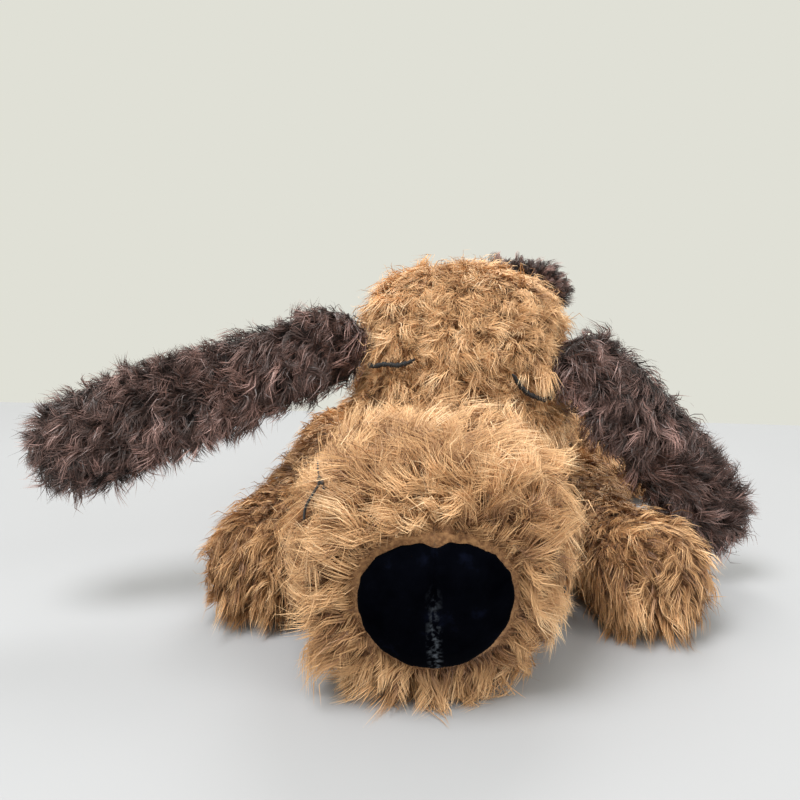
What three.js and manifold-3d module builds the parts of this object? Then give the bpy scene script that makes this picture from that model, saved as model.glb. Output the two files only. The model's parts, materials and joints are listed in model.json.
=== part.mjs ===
// A stuffed plush dog lying on its belly, with its chin on the table between its forepaws.
// Millimetres, +Z up. The dog faces -Y and its own left is +X. The origin is under the middle of
// the belly, on the flat that the dog lies on.
import * as THREE from 'three';
import { mergeVertices } from 'three/addons/utils/BufferGeometryUtils.js';
import Module from 'manifold-3d';

const wasm = await Module();
wasm.setup();

// Driving sizes
const COVER = 4; // knitted backing with its pressed pile
const EAR_COVER = 2.5; // the same on an ear
const GAP = 0.3; // between pieces that touch
const SWING_GAP = 1; // round the rounded root of a limb
const FACETS = 1.05; // a faceted ball's flats lie this much inside its corners
const FAR = 600; // longer than the dog

const BELLY_SEAM_Z = 22; // where the belly panel meets the two back panels
const CHIN_SEAM_Z = 17; // where the chin panel meets the muzzle sides
const GUSSET = 32; // width of the strip from the forehead to the nape
const HEAD_ROLL = THREE.MathUtils.degToRad(7); // the head leans to the dog's left
const NOSE_Z = 46; // height of the widest part of the nose patch
const NOSE_SKIN = 3; // thickness of the nose patch
const THREAD = 1.1; // radius of an embroidered line

const NECK = { at: [0, -92, 62], radius: 27 };
const LEFT_SHOULDER = { at: [60, -86, 29], radius: 25 };
const RIGHT_SHOULDER = { at: [-61, -88, 44], radius: 30 };
const LEFT_HIP = { at: [62, 80, 31], radius: 27 };
const RIGHT_HIP = { at: [-62, 76, 31], radius: 27 };
const TAIL_ROOT = { at: [0, 104, 80], radius: 15.5 };
const LEFT_EAR_ROOT = { at: [60, -146, 112], radius: 24 };
const RIGHT_EAR_ROOT = { at: [-58, -149, 120], radius: 24 };

const TAN_FUR = { color: 0xb48a62, roughness: 0.95 };
const DARK_FUR = { color: 0x3d2c26, roughness: 0.95 };
const VELVET = { color: 0x0a0b10, roughness: 0.85 };
const BLACK_THREAD = { color: 0x121212, roughness: 0.6 };
const FIBREFILL = { color: 0xf2f0ea, roughness: 1 };
const LABEL_TAPE = { color: 0xf4f4f2, roughness: 0.7 };

// Each row of a limb is a point on its middle line with the half height and half width there.
const TORSO = [
  [0, -84, 40, 38, 46],
  [0, -50, 43, 45, 60],
  [0, 0, 44, 47, 67],
  [0, 55, 45, 48, 68],
  [0, 100, 42, 44, 57],
  [0, 124, 38, 34, 44],
];
const CRANIUM = [
  [0, -178, 106, 43, 44],
  [0, -150, 106, 52, 52],
  [0, -118, 106, 52, 52],
  [0, -84, 102, 41, 43],
];
const MUZZLE = [
  [1, -263, 42, 43, 42],
  [-3, -240, 46, 47, 48],
  [-5, -214, 49, 50, 53],
  [-4, -182, 50, 47, 49],
  [0, -152, 56, 36, 38],
];
const LEFT_FORELEG = [
  [55, -62, 30, 25, 25],
  [60, -86, 29, 25, 25],
  [65, -114, 24, 24, 20],
  [74, -144, 24, 24, 20],
  [86, -169, 25, 26, 26],
  [91, -194, 24, 25, 26],
];
const RIGHT_FORELEG = [
  [-54, -60, 45, 30, 30],
  [-61, -88, 44, 30, 30],
  [-70, -118, 35, 34, 25],
  [-79, -150, 28, 29, 22],
  [-86, -180, 25, 27, 24],
  [-88, -206, 24, 25, 24],
];
const LEFT_HINDLEG = [
  [37, 90, 33, 27, 27],
  [62, 80, 31, 27, 27],
  [84, 60, 26, 26, 25],
  [94, 34, 24, 25, 24],
  [97, 8, 26, 27, 26],
  [98, -12, 25, 25, 25],
];
const RIGHT_HINDLEG = [
  [-37, 86, 33, 27, 27],
  [-62, 76, 31, 27, 27],
  [-82, 58, 26, 26, 25],
  [-90, 32, 24, 25, 24],
  [-91, 6, 26, 27, 25],
  [-91, -14, 25, 25, 24],
];
const LEFT_EAR = [
  [44, -149, 123, 21, 6],
  [60, -146, 112, 21.5, 6],
  [83, -134, 89, 23, 6.5],
  [102, -126, 65, 23.5, 7],
  [120, -119, 42, 24, 7],
  [135, -117, 16, 21, 6.5],
];
const RIGHT_EAR = [
  [-41, -143, 126, 22.5, 6],
  [-58, -149, 121, 23, 6],
  [-92, -162, 109, 24, 6.5],
  [-130, -177, 95, 25.5, 7],
  [-163, -189, 82, 27, 7],
  [-190, -199, 73, 23, 6.5],
];
const TAIL = [
  [1, 100, 67, 13, 13],
  [0, 104, 80, 13, 13],
  [-8, 114, 103, 14, 14],
  [-7, 121, 122, 14, 14],
  [10, 125, 132, 14, 14],
  [32, 126, 132, 14, 14],
  [52, 126, 126, 14, 14],
  [58, 126, 112, 13, 13],
];

// ---- solids ------------------------------------------------------------------------------

function toSolid(geometry) {
  const bare = geometry.clone();
  bare.deleteAttribute('normal');
  bare.deleteAttribute('uv');
  const merged = mergeVertices(bare, 1e-4);
  return new wasm.Manifold(new wasm.Mesh({
    numProp: 3,
    vertProperties: new Float32Array(merged.getAttribute('position').array),
    triVerts: new Uint32Array(merged.getIndex().array),
  }));
}

function toGeometry(solid) {
  const mesh = solid.getMesh();
  const geometry = new THREE.BufferGeometry();
  geometry.setAttribute('position', new THREE.BufferAttribute(mesh.vertProperties, 3));
  geometry.setIndex(new THREE.BufferAttribute(mesh.triVerts, 1));
  geometry.computeVertexNormals();
  return geometry;
}

function block([x0, y0, z0], [x1, y1, z1]) {
  const box = new THREE.BoxGeometry(x1 - x0, y1 - y0, z1 - z0);
  return box.translate((x0 + x1) / 2, (y0 + y1) / 2, (z0 + z1) / 2);
}

function slice(low, high) {
  return toSolid(block(low, high));
}

function above(z) {
  return slice([-FAR, -FAR, z], [FAR, FAR, FAR]);
}

function ball({ at, radius }, grow = 0) {
  return toSolid(new THREE.SphereGeometry(radius + grow, 14, 10).rotateX(Math.PI / 2).translate(...at));
}

// Closes a run of rings, each with the same number of points, with a point at both ends.
function skin(rings, start, end) {
  const sides = rings[0].length;
  const points = [...rings.flat(), start, end];
  const [startIndex, endIndex] = [points.length - 2, points.length - 1];
  const faces = [];
  for (let j = 0; j < sides; j += 1) {
    const next = (j + 1) % sides;
    faces.push(startIndex, next, j);
    for (let i = 0; i < rings.length - 1; i += 1) {
      const [a, b] = [i * sides + j, i * sides + next];
      faces.push(a, b, a + sides, b, b + sides, a + sides);
    }
    const last = (rings.length - 1) * sides;
    faces.push(endIndex, last + j, last + next);
  }
  const geometry = new THREE.BufferGeometry().setFromPoints(points);
  geometry.setIndex(faces);
  return toSolid(geometry);
}

// The middle line of a limb, and a frame across it at any part of its length.
function middleLine(rows, upward) {
  const line = new THREE.CatmullRomCurve3(rows.map(([x, y, z]) => new THREE.Vector3(x, y, z)));
  const sizes = new THREE.CatmullRomCurve3(rows.map(([, , , up, across]) => new THREE.Vector3(up, across, 0)));
  const length = line.getLength();
  const frameAt = (distance) => {
    const part = THREE.MathUtils.clamp(distance / length, 0, 1);
    const along = line.getTangentAt(part);
    const up = upward.clone().addScaledVector(along, -upward.dot(along)).normalize();
    const across = new THREE.Vector3().crossVectors(along, up);
    const size = sizes.getPoint(line.getUtoTmapping(part));
    const outside = distance - part * length;
    const centre = line.getPointAt(part).addScaledVector(along, outside);
    return { centre, up, across, halfHeight: size.x, halfWidth: size.y };
  };
  return { length, frameAt };
}

const Z_UP = new THREE.Vector3(0, 0, 1);
const Y_UP = new THREE.Vector3(0, 1, 0);

// A rounded limb: a squared ellipse carried along the middle line, its ends rounded over the
// two given lengths. grow thickens it all round, and shrinks it when negative, with fewer facets
// because a shrunk limb is only ever inside another.
function limb(rows, shape, grow = 0) {
  const { round, power = 2.3, upward = Z_UP } = shape;
  const [rings, sides] = grow < 0 ? [shape.rings - 3, shape.sides - 4] : [shape.rings, shape.sides];
  const { length, frameAt } = middleLine(rows, upward);
  const ringAt = (distance) => {
    const fromStart = THREE.MathUtils.clamp((distance + grow) / (round[0] + grow), 0, 1);
    const fromEnd = THREE.MathUtils.clamp((length + grow - distance) / (round[1] + grow), 0, 1);
    const rounding = Math.sqrt((1 - (1 - fromStart) ** 2) * (1 - (1 - fromEnd) ** 2));
    const { centre, up, across, halfHeight, halfWidth } = frameAt(distance);
    return Array.from({ length: sides }, (_, j) => {
      const angle = (2 * Math.PI * j) / sides;
      const [c, s] = [Math.cos(angle), Math.sin(angle)];
      const [u, a] = [c, s].map((v) => Math.sign(v) * Math.abs(v) ** (2 / power) * rounding);
      return centre.clone().addScaledVector(up, u * (halfHeight + grow)).addScaledVector(across, a * (halfWidth + grow));
    });
  };
  const span = length + 2 * grow;
  const stops = Array.from({ length: rings }, (_, i) => (1 - Math.cos((Math.PI * (i + 1)) / (rings + 1))) / 2);
  const ringList = stops.map((stop) => ringAt(stop * span - grow));
  return skin(ringList, frameAt(-grow).centre, frameAt(length + grow).centre);
}

// The space on one side of a limb's middle surface, from near it outwards.
function sideOf(rows, near, upward = Z_UP) {
  const { length, frameAt } = middleLine(rows, upward);
  const [steps, height, width, over] = [7, 44, 34, 12];
  const corners = [[height, near], [height, width], [-height, width], [-height, near]];
  const ringAt = (distance) => {
    const { centre, up, across } = frameAt(distance);
    return corners.map(([u, a]) => centre.clone().addScaledVector(up, u).addScaledVector(across, a));
  };
  const span = length + 2 * over;
  const ringList = Array.from({ length: steps + 1 }, (_, i) => ringAt((span * i) / steps - over));
  const middleOf = (ring) => ring.reduce((sum, p) => sum.add(p), new THREE.Vector3()).divideScalar(ring.length);
  return skin(ringList, middleOf(ringList[0]), middleOf(ringList[steps]));
}

// A cover cut along the limb's middle surface into its two sewn panels.
function sewnHalves(cover, rows, upward) {
  return [cover.intersect(sideOf(rows, GAP / 2, upward)), cover.subtract(sideOf(rows, -GAP / 2, upward))];
}

// A cloth cover round a stuffing, both flat where they meet the table and cut back by the bites.
function stuffed(rows, shape, bites = []) {
  const outside = limb(rows, shape).intersect(above(0));
  const inside = limb(rows, shape, -COVER).intersect(above(COVER));
  let cover = outside.subtract(inside);
  let stuffing = limb(rows, shape, -COVER - GAP).intersect(above(COVER + GAP));
  for (const bite of bites) {
    cover = cover.subtract(bite(0));
    stuffing = stuffing.subtract(bite(GAP));
  }
  return { cover, stuffing };
}

const roomForBall = ({ at, radius }) => (grow) => ball({ at, radius: (radius + SWING_GAP) * FACETS }, grow);
const roomForLimb = (rows, shape) => (grow) => limb(rows, shape, SWING_GAP + grow);

const legShape = (root) => ({ round: [root.radius, 16], rings: 10, sides: 12, power: 2.2 });
const LEGS = [
  ['left_foreleg', LEFT_FORELEG, legShape(LEFT_SHOULDER)],
  ['right_foreleg', RIGHT_FORELEG, legShape(RIGHT_SHOULDER)],
  ['left_hindleg', LEFT_HINDLEG, legShape(LEFT_HIP)],
  ['right_hindleg', RIGHT_HINDLEG, legShape(RIGHT_HIP)],
];
const EAR_SHAPE = { round: [15, 19], rings: 9, sides: 10, power: 2 };
const TAIL_SHAPE = { round: [13, 13], rings: 12, sides: 10, power: 2, upward: Y_UP };
const CRANIUM_SHAPE = { round: [36, 42], rings: 10, sides: 16, power: 2.5 };
const MUZZLE_SHAPE = { round: [19, 24], rings: 12, sides: 20, power: 2.5 };

// ---- the dog -----------------------------------------------------------------------------

const dog = new THREE.Group();

function addPiece(name, solid, finish) {
  const geometry = solid.isBufferGeometry ? solid : toGeometry(solid);
  const mesh = new THREE.Mesh(geometry, new THREE.MeshStandardMaterial({ ...finish, metalness: 0 }));
  mesh.name = name;
  dog.add(mesh);
  return mesh;
}

// A sewing thread along a line of points.
function thread(points, radius, steps) {
  const section = new THREE.Shape(Array.from({ length: 6 }, (_, j) => {
    const angle = (Math.PI * j) / 3;
    return new THREE.Vector2(radius * Math.cos(angle), radius * Math.sin(angle));
  }));
  const extrudePath = new THREE.CatmullRomCurve3(points);
  return new THREE.ExtrudeGeometry(section, { steps, extrudePath });
}

// The point where a line first meets a surface, moved off it by lift.
function onSurface(mesh, from, direction, lift) {
  const { point, face } = new THREE.Raycaster(from, direction).intersectObject(mesh)[0];
  return point.addScaledVector(face.normal, lift);
}

function addTorso() {
  const shape = { round: [26, 36], rings: 11, sides: 16, power: 2.5 };
  const roots = [NECK, LEFT_SHOULDER, RIGHT_SHOULDER, LEFT_HIP, RIGHT_HIP, TAIL_ROOT].map(roomForBall);
  const limbs = [...LEGS.map(([, rows, leg]) => roomForLimb(rows, leg)), roomForLimb(TAIL, TAIL_SHAPE)];
  const { cover, stuffing } = stuffed(TORSO, shape, [...roots, ...limbs]);
  const seam = BELLY_SEAM_Z + GAP / 2;
  addPiece('back_left', cover.intersect(slice([GAP / 2, -FAR, seam], [FAR, FAR, FAR])), TAN_FUR);
  addPiece('back_right', cover.intersect(slice([-FAR, -FAR, seam], [-GAP / 2, FAR, FAR])), TAN_FUR);
  addPiece('belly_panel', cover.intersect(slice([-FAR, -FAR, -FAR], [FAR, FAR, seam - GAP])), TAN_FUR);
  addPiece('body_stuffing', stuffing, FIBREFILL);
  const body = new THREE.Mesh(toGeometry(limb(TORSO, shape)));
  addClosingStitch(body);
  addLabel(body);
}

// The seam up the middle of the back, sewn up by hand once the body is stuffed.
function addClosingStitch(body) {
  const [start, pitch, turns, reach, radius] = [14, 7, 8, 2.4, 0.5];
  const down = new THREE.Vector3(0, 0, -1);
  const points = Array.from({ length: turns }, (_, i) => {
    const from = new THREE.Vector3(i % 2 ? reach : -reach, start + pitch * i, FAR);
    return onSurface(body, from, down, 2.4 * radius);
  });
  addPiece('closing_stitch', thread(points, radius, 2 * turns), BLACK_THREAD);
}

// A blank folded tape sewn into the seam at the rump.
function addLabel(body) {
  const [width, length, thickness] = [18, 13, 1.2];
  const root = onSurface(body, new THREE.Vector3(14, FAR, BELLY_SEAM_Z + 2), Y_UP.clone().negate(), 1.5);
  const tape = new THREE.BoxGeometry(width, length, thickness).translate(0, length / 2, 0);
  addPiece('label_tape', tape.rotateZ(-0.2).translate(...root.toArray()), LABEL_TAPE);
}

function addNeck() {
  const centre = NECK.at;
  const shell = ball(NECK).subtract(ball(NECK, -COVER));
  addPiece('neck_left', shell.intersect(slice([GAP / 2, -FAR, -FAR], [FAR, FAR, FAR])), TAN_FUR);
  addPiece('neck_right', shell.intersect(slice([-FAR, -FAR, -FAR], [-GAP / 2, FAR, FAR])), TAN_FUR);
  addPiece('neck_stuffing', ball({ at: centre, radius: NECK.radius }, -COVER - GAP), FIBREFILL);
}

// A slab between two heights of the head's own across direction, leaning with the head.
function leaningSlab(from, to) {
  const [x, y, z] = CRANIUM[1];
  const slab = block([from, -FAR, -FAR], [to, FAR, FAR]).translate(0, -y, 0);
  return toSolid(slab.rotateY(HEAD_ROLL).translate(x, y, z));
}

function addHead() {
  const roots = [NECK, LEFT_EAR_ROOT, RIGHT_EAR_ROOT].map(roomForBall);
  const ears = [LEFT_EAR, RIGHT_EAR].map((rows) => roomForLimb(rows, EAR_SHAPE));
  const { cover, stuffing } = stuffed(CRANIUM, CRANIUM_SHAPE, [...roots, ...ears]);
  const half = GUSSET / 2;
  addPiece('head_left', cover.intersect(leaningSlab(half + GAP / 2, FAR)), TAN_FUR);
  addPiece('head_right', cover.intersect(leaningSlab(-FAR, -half - GAP / 2)), TAN_FUR);
  addPiece('head_gusset', cover.intersect(leaningSlab(-half + GAP / 2, half - GAP / 2)), TAN_FUR);
  addPiece('head_stuffing', stuffing, FIBREFILL);
}

// The nose patch's outline, wide across the top and narrow at the chin.
function noseColumn(grow) {
  const [half, top, bottom] = [28.5 + grow, 24 + grow, 30 + grow];
  const outline = new THREE.Shape();
  outline.moveTo(0, top);
  outline.bezierCurveTo(half * 0.62, top * 1.03, half, top * 0.62, half, 0);
  outline.bezierCurveTo(half, -bottom * 0.5, half * 0.52, -bottom, 0, -bottom);
  outline.bezierCurveTo(-half * 0.52, -bottom, -half, -bottom * 0.5, -half, 0);
  outline.bezierCurveTo(-half, top * 0.62, -half * 0.62, top * 1.03, 0, top);
  const depth = 60;
  const column = new THREE.ExtrudeGeometry(outline, { depth, bevelEnabled: false, curveSegments: 4 });
  return toSolid(column.rotateX(Math.PI / 2).translate(0, -215, NOSE_Z));
}

function addMuzzle() {
  const behind = (grow) => limb(CRANIUM, CRANIUM_SHAPE, GAP + grow);
  const { cover, stuffing } = stuffed(MUZZLE, MUZZLE_SHAPE, [behind, roomForBall(NECK)]);
  const patch = limb(MUZZLE, MUZZLE_SHAPE).subtract(limb(MUZZLE, MUZZLE_SHAPE, -NOSE_SKIN));
  const nose = patch.intersect(noseColumn(0));
  const sides = cover.subtract(noseColumn(GAP));
  const seam = CHIN_SEAM_Z + GAP / 2;
  addPiece('muzzle_left', sides.intersect(slice([GAP / 2, -FAR, seam], [FAR, FAR, FAR])), TAN_FUR);
  addPiece('muzzle_right', sides.intersect(slice([-FAR, -FAR, seam], [-GAP / 2, FAR, FAR])), TAN_FUR);
  addPiece('chin_panel', sides.intersect(slice([-FAR, -FAR, -FAR], [FAR, FAR, seam - GAP])), TAN_FUR);
  addPiece('muzzle_stuffing', stuffing, FIBREFILL);
  addPiece('nose_left', nose.intersect(slice([GAP / 2, -FAR, -FAR], [FAR, FAR, FAR])), VELVET);
  addPiece('nose_right', nose.intersect(slice([-FAR, -FAR, -FAR], [-GAP / 2, FAR, FAR])), VELVET);
}

// Closed eyes, each one embroidered line, and the ends of the threads that pinch the muzzle.
function addFace() {
  const cranium = new THREE.Mesh(toGeometry(limb(CRANIUM, CRANIUM_SHAPE)));
  const muzzle = new THREE.Mesh(toGeometry(limb(MUZZLE, MUZZLE_SHAPE)));
  const lines = [
    ['left_eye_stitch', cranium, THREAD, [[22, 114], [26, 107], [32, 103], [38, 100.5], [41, 97]]],
    ['right_eye_stitch', cranium, THREAD, [[-15, 118.5], [-22, 116], [-29, 115], [-35, 112]]],
    ['left_muzzle_stitch', muzzle, 0.7, [[43, 50], [44, 46], [43, 43]]],
    ['right_muzzle_stitch', muzzle, 0.7, [[-37, 78], [-40, 76], [-42, 71], [-43, 67]]],
  ];
  for (const [name, mesh, radius, spots] of lines) {
    const points = spots.map(([x, z]) => onSurface(mesh, new THREE.Vector3(x, -FAR, z), Y_UP, 2 * radius));
    addPiece(name, thread(points, radius, 2 * points.length), BLACK_THREAD);
  }
}

function addLimb(name, rows, shape, finish, panels) {
  const { cover, stuffing } = stuffed(rows, shape);
  const halves = sewnHalves(cover, rows, shape.upward);
  panels.forEach((panel, i) => addPiece(`${name}_${panel}`, halves[i], finish));
  addPiece(`${name}_stuffing`, stuffing, FIBREFILL);
}

function addLegs() {
  const panels = [['inner', 'outer'], ['outer', 'inner'], ['inner', 'outer'], ['outer', 'inner']];
  LEGS.forEach(([name, rows, shape], i) => addLimb(name, rows, shape, TAN_FUR, panels[i]));
}

function addEars() {
  for (const [name, rows] of [['left_ear', LEFT_EAR], ['right_ear', RIGHT_EAR]]) {
    const cover = limb(rows, EAR_SHAPE).subtract(limb(rows, EAR_SHAPE, -EAR_COVER));
    const [front, lining] = sewnHalves(cover, rows);
    addPiece(`${name}_front`, front, DARK_FUR);
    addPiece(`${name}_lining`, lining, DARK_FUR);
    addPiece(`${name}_wadding`, limb(rows, EAR_SHAPE, -EAR_COVER - GAP), FIBREFILL);
  }
}

addTorso();
addNeck();
addHead();
addMuzzle();
addFace();
addLegs();
addEars();
addLimb('tail', TAIL, TAIL_SHAPE, DARK_FUR, ['under', 'top']);

export default dog;
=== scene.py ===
import json
import math

import bmesh
import bpy
import numpy as np
from bpy.props import FloatProperty, FloatVectorProperty, IntProperty, PointerProperty
from mathutils import Matrix, Vector, noise
from mathutils.bvhtree import BVHTree
from mathutils.kdtree import KDTree


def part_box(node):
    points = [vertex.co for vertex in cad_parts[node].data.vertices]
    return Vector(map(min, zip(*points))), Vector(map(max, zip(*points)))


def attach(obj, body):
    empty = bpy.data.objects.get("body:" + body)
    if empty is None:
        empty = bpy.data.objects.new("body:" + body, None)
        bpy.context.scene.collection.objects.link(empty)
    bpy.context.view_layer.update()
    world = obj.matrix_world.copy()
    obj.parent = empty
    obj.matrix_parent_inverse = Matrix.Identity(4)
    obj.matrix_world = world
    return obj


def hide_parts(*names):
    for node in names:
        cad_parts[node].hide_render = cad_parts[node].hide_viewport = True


bl_info = {
    "name": "Lying Plush Dog",
    "version": (1, 0, 0),
    "blender": (4, 5, 0),
    "location": "View3D > Sidebar > Plush",
    "description": "Sews the covers, pile, nose and eyes of a lying plush dog round its fixed frame",
    "category": "Object",
}

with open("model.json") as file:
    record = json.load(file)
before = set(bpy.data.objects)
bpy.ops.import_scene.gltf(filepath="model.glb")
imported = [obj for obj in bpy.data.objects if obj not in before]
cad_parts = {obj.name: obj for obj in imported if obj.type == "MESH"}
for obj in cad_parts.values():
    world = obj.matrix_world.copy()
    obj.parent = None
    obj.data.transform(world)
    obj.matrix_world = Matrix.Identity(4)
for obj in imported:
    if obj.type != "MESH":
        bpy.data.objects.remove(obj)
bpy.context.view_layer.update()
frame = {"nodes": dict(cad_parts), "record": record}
NODES = frame["nodes"]
BODIES = frame["record"]["behaviour"]["bodies"]
SLOTS = {s["node"]: s["material_slot"] for s in frame["record"]["subparts"]}
PLUSH = ("tan_plush", "dark_plush")
MM = 0.001
ROOM_COLOUR = "e2e2d8"
ROOM_LIGHT = 0.98
NOSE = ("nose_left", "nose_right")


def linear(code):
    """The linear colour of an sRGB hex value."""
    parts = [int(code[i : i + 2], 16) / 255 for i in (0, 2, 4)]
    return tuple(c / 12.92 if c <= 0.04045 else ((c + 0.055) / 1.055) ** 2.4 for c in parts)


class PlushSizes(bpy.types.PropertyGroup):
    muzzle_pile: FloatProperty(
        name="Muzzle pile",
        description="Length of the long pile round the nose",
        default=15.0 * MM,
        min=0,
        unit="LENGTH",
    )
    head_pile: FloatProperty(
        name="Head pile",
        description="Length of the pile on the skull",
        default=10.0 * MM,
        min=0,
        unit="LENGTH",
    )
    leg_pile: FloatProperty(
        name="Leg pile", description="Length of the pile on the legs", default=10 * MM, min=0, unit="LENGTH"
    )
    back_pile: FloatProperty(
        name="Back pile",
        description="Length of the pile on the body",
        default=10 * MM,
        min=0,
        unit="LENGTH",
    )
    ear_pile: FloatProperty(
        name="Ear pile",
        description="Length of the matted pile on the ears",
        default=10.5 * MM,
        min=0,
        unit="LENGTH",
    )
    tail_pile: FloatProperty(
        name="Tail pile",
        description="Length of the tufted pile on the tail",
        default=9 * MM,
        min=0,
        unit="LENGTH",
    )
    strand: FloatProperty(
        name="Strand width",
        description="Width of one wisp of fibres at its widest",
        default=0.5 * MM,
        min=0,
        unit="LENGTH",
    )
    backing: FloatProperty(
        name="Backing",
        description="Thickness of the knitted backing under the pile",
        default=1.0 * MM,
        min=0,
        unit="LENGTH",
    )
    depth: FloatProperty(
        name="Pile depth",
        description="How far the backing lies inside the pressed pile's outer face",
        default=2.6 * MM,
        min=0,
        unit="LENGTH",
    )
    puff: FloatProperty(
        name="Puff",
        description="How far the stuffing may push a panel out between its seams",
        default=1.2 * MM,
        min=0,
        unit="LENGTH",
    )
    stitch: FloatProperty(
        name="Stitch",
        description="Length of one satin stitch across an eye",
        default=2.4 * MM,
        min=0,
        unit="LENGTH",
    )
    seed: IntProperty(name="Seed", description="Number that fixes how the pile falls", default=7, min=0)


class PlushColours(bpy.types.PropertyGroup):
    tan: FloatVectorProperty(
        name="Tan",
        description="Middle colour of the tan pile",
        subtype="COLOR",
        default=linear("c89d6e"),
        min=0,
        max=1,
    )
    dark: FloatVectorProperty(
        name="Dark",
        description="Middle colour of the ears and tail",
        subtype="COLOR",
        default=linear("503c37"),
        min=0,
        max=1,
    )
    velvet: FloatVectorProperty(
        name="Velvet",
        description="Colour of the nose velvet",
        subtype="COLOR",
        default=linear("05060b"),
        min=0,
        max=1,
    )
    thread: FloatVectorProperty(
        name="Thread",
        description="Colour of the embroidery thread",
        subtype="COLOR",
        default=linear("101012"),
        min=0,
        max=1,
    )


def sizes():
    return bpy.context.scene.plush_sizes


def colours():
    return bpy.context.scene.plush_colours


# ---- nodes and materials ----


def add(tree, kind, settings=None, **inputs):
    """Adds a node, with its settings, its inputs' values and its links.

    An input goes by its name, with underscores for spaces, or by i and its number where names repeat.
    """
    node = tree.nodes.new(kind)
    for name, value in (settings or {}).items():
        setattr(node, name, value)
    for name, value in inputs.items():
        numbered = name[0] == "i" and name[1:].isdigit()
        socket = node.inputs[int(name[1:]) if numbered else name.replace("_", " ")]
        if isinstance(value, bpy.types.NodeSocket):
            tree.links.new(value, socket)
        else:
            socket.default_value = value
    return node


def finish_material(name, roughness, sheen=0.0, sheen_roughness=0.5, specular=0.5):
    """A new material with one Principled shader: (material, tree, shader)."""
    made = bpy.data.materials.new(name)
    made.use_nodes = True
    tree = made.node_tree
    tree.nodes.clear()
    shader = add(tree, "ShaderNodeBsdfPrincipled")
    shader.inputs["Roughness"].default_value = roughness
    shader.inputs["Sheen Weight"].default_value = sheen
    shader.inputs["Sheen Roughness"].default_value = sheen_roughness
    shader.inputs["Specular IOR Level"].default_value = specular
    add(tree, "ShaderNodeOutputMaterial", Surface=shader.outputs[0])
    return made, tree, shader


def ramp(tree, factor, stops):
    """The colour that a ramp over (place, linear colour) stops gives."""
    node = add(tree, "ShaderNodeValToRGB", Fac=factor)
    elements = node.color_ramp.elements
    while len(elements) < len(stops):
        elements.new(0.5)
    for element, (place, colour) in zip(elements, stops, strict=True):
        element.position = place
        element.color = (*colour[:3], 1)
    return node.outputs["Color"]


def tinted(colour, times):
    """The colour with each channel multiplied by its own number."""
    return tuple(c * t for c, t in zip(colour, times, strict=True))


def pile_material(name, stops, roughness, sheen, specular):
    """Brushed polyester pile: each lock has its own tone, with painted shade darkening the roots and a
    painted highlight paling the tips.
    """
    made, tree, shader = finish_material(name, roughness, sheen, 0.4, specular)
    tone = add(tree, "ShaderNodeAttribute", {"attribute_name": "tone"})
    tree.links.new(ramp(tree, tone.outputs["Fac"], stops), shader.inputs["Base Color"])
    return made


def knit_material(name, low, high):
    """Knitted backing in the pile's hue, darkened as painted shade deep in the pile: fibre ends every 1.5
    mm, so that gaps read as more pile.
    """
    made, tree, shader = finish_material(name, 0.85, 0.2)
    place = add(tree, "ShaderNodeTexCoord").outputs["Object"]
    fibre = add(tree, "ShaderNodeTexNoise", Vector=place, Scale=650.0, Detail=3.0)
    tree.links.new(ramp(tree, fibre.outputs[0], [(0.35, low), (0.65, high)]), shader.inputs["Base Color"])
    bump = add(tree, "ShaderNodeBump", Height=fibre.outputs[0], Strength=0.6, Distance=0.8 * MM)
    tree.links.new(bump.outputs[0], shader.inputs["Normal"])
    return made


def velvet_material(colour):
    """Short cut-pile velvet: nearly black, with a faint bluish sheen painted in random patches of its nap,
    and a fine 0.3 mm grain.
    """
    made, tree, shader = finish_material("Nose velvet", 1.0, 0.02, 0.3, 0.0)
    place = add(tree, "ShaderNodeTexCoord").outputs["Object"]
    brushed_sheen = add(tree, "ShaderNodeTexNoise", Vector=place, Scale=70.0, Detail=4.0, Roughness=0.6)
    # the top stop, up to five times the velvet's colour, is a painted bluish sheen; the low stop darkens the
    # patches between as painted shade
    stops = [
        (0.35, tinted(colour, (0.4, 0.4, 0.45))),
        (0.6, colour),
        (0.8, tinted(colour, (3.4, 3.8, 5.0))),
    ]
    # pale lint caught along the middle of the lower half
    sides = add(tree, "ShaderNodeSeparateXYZ", Vector=place)
    near = add(tree, "ShaderNodeMath", {"operation": "ABSOLUTE"}, Value=sides.outputs["X"])
    band = add(tree, "ShaderNodeMapRange", Value=near.outputs[0], From_Min=3.2 * MM, From_Max=0.2 * MM)
    low = add(tree, "ShaderNodeMapRange", Value=sides.outputs["Z"], From_Min=56 * MM, From_Max=30 * MM)
    specks = add(tree, "ShaderNodeTexNoise", Vector=place, Scale=520.0, Detail=6.0)
    sparse = add(tree, "ShaderNodeMapRange", Value=specks.outputs[0], From_Min=0.48, From_Max=0.7)
    inside = add(tree, "ShaderNodeMath", {"operation": "MULTIPLY"}, i0=band.outputs[0], i1=low.outputs[0])
    lint = add(
        tree, "ShaderNodeMath", {"operation": "MULTIPLY"}, i0=inside.outputs[0], i1=sparse.outputs[0]
    )
    black = ramp(tree, brushed_sheen.outputs[0], stops)
    grey = (*linear("5b6169"), 1)
    mixed = add(tree, "ShaderNodeMix", {"data_type": "RGBA"}, i0=lint.outputs[0], i6=black, i7=grey)
    tree.links.new(mixed.outputs[2], shader.inputs["Base Color"])
    grain = add(tree, "ShaderNodeTexNoise", Vector=place, Scale=3000.0, Detail=1.0)
    bump = add(tree, "ShaderNodeBump", Height=grain.outputs[0], Strength=0.5, Distance=0.15 * MM)
    tree.links.new(bump.outputs[0], shader.inputs["Normal"])
    return made


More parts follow.
